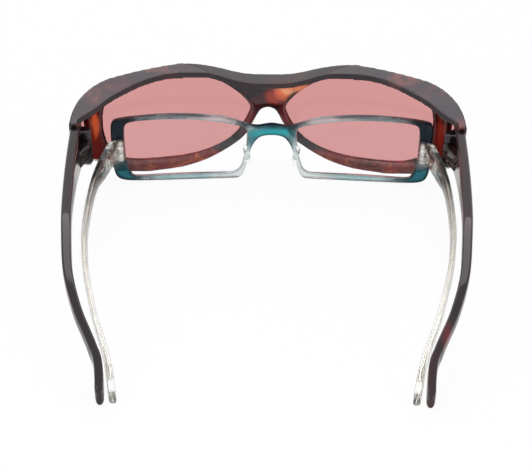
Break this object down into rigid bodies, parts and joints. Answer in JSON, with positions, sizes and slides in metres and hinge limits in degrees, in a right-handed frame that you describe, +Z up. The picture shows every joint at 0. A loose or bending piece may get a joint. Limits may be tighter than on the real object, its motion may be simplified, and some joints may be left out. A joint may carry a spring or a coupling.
{
  "type": "reading glasses with tinted cover glasses",
  "caption": "Clear reading glasses with folding temples, nested inside wraparound glasses with rose-tinted lenses and side windows that lift off.",
  "frame": {"origin": "centre of the footprint on the table, under the open glasses", "axes": "+Y the way the wearer looks, +X the wearer's right, +Z up from the table the open glasses stand on"},
  "size_m": [0.152, 0.15, 0.0449],
  "materials": {
    "cover_frame": "polished dark tortoiseshell",
    "cover_temple": "polished dark tortoiseshell",
    "rose_lens": "polished rose tint",
    "side_lens": "polished rose tint",
    "cover_screw": "bright screw",
    "reader_frame": "polished teal over clear",
    "clear_lens": "polished clear",
    "nose_pad": "clear",
    "hinge_leaf": "bright plated",
    "reader_screw": "bright screw",
    "rivet": "bright rivet",
    "reader_temple": "clear with a faint teal edge",
    "core_wire": "dull wire"
  },
  "bodies": {
    "reader": {"reader_front": "reader_frame", "reader_lens_left": "clear_lens", "reader_lens_right": "clear_lens", "nose_pad_left": "nose_pad", "nose_pad_right": "nose_pad", "front_leaf_left": "hinge_leaf", "front_leaf_right": "hinge_leaf", "reader_screw_left": "reader_screw", "reader_screw_right": "reader_screw", "front_rivets_left": "rivet", "front_rivets_right": "rivet"},
    "reader_arm_left": {"reader_temple_left": "reader_temple", "core_wire_left": "core_wire", "temple_leaf_left": "hinge_leaf", "temple_rivets_left": "rivet"},
    "reader_arm_right": {"reader_temple_right": "reader_temple", "core_wire_right": "core_wire", "temple_leaf_right": "hinge_leaf", "temple_rivets_right": "rivet"},
    "cover": {"cover_front": "cover_frame", "cover_lens_left": "rose_lens", "cover_lens_right": "rose_lens", "side_lens_left": "side_lens", "side_lens_right": "side_lens", "cover_screw_left": "cover_screw", "cover_screw_right": "cover_screw"},
    "cover_arm_left": {"cover_temple_left": "cover_temple"},
    "cover_arm_right": {"cover_temple_right": "cover_temple"}
  },
  "joints": [
    {"name": "cover_lift", "type": "slide", "parent": "reader", "child": "cover", "axis": [0, 0.1736, 0.9848], "range_m": [0, 0.06]},
    {"name": "cover_fold_left", "type": "hinge", "parent": "cover", "child": "cover_arm_left", "pos_m": [-0.0703, 0.04538, 0.0231], "axis": [0, 0, 1], "range_deg": [0, 76]},
    {"name": "cover_fold_right", "type": "hinge", "parent": "cover", "child": "cover_arm_right", "pos_m": [0.0703, 0.04538, 0.0231], "axis": [0, 0, -1], "range_deg": [0, 54]},
    {"name": "reader_fold_left", "type": "hinge", "parent": "reader", "child": "reader_arm_left", "pos_m": [-0.05827, 0.05268, 0.016], "axis": [0, 0, 1], "range_deg": [0, 84]},
    {"name": "reader_fold_right", "type": "hinge", "parent": "reader", "child": "reader_arm_right", "pos_m": [0.06147, 0.05268, 0.016], "axis": [0, 0, -1], "range_deg": [0, 60]}
  ],
  "couplings": [
    {"joint": "reader_fold_left", "follows": "cover_fold_left", "ratio": 1.1},
    {"joint": "reader_fold_right", "follows": "cover_fold_right", "ratio": 1.1}
  ]
}
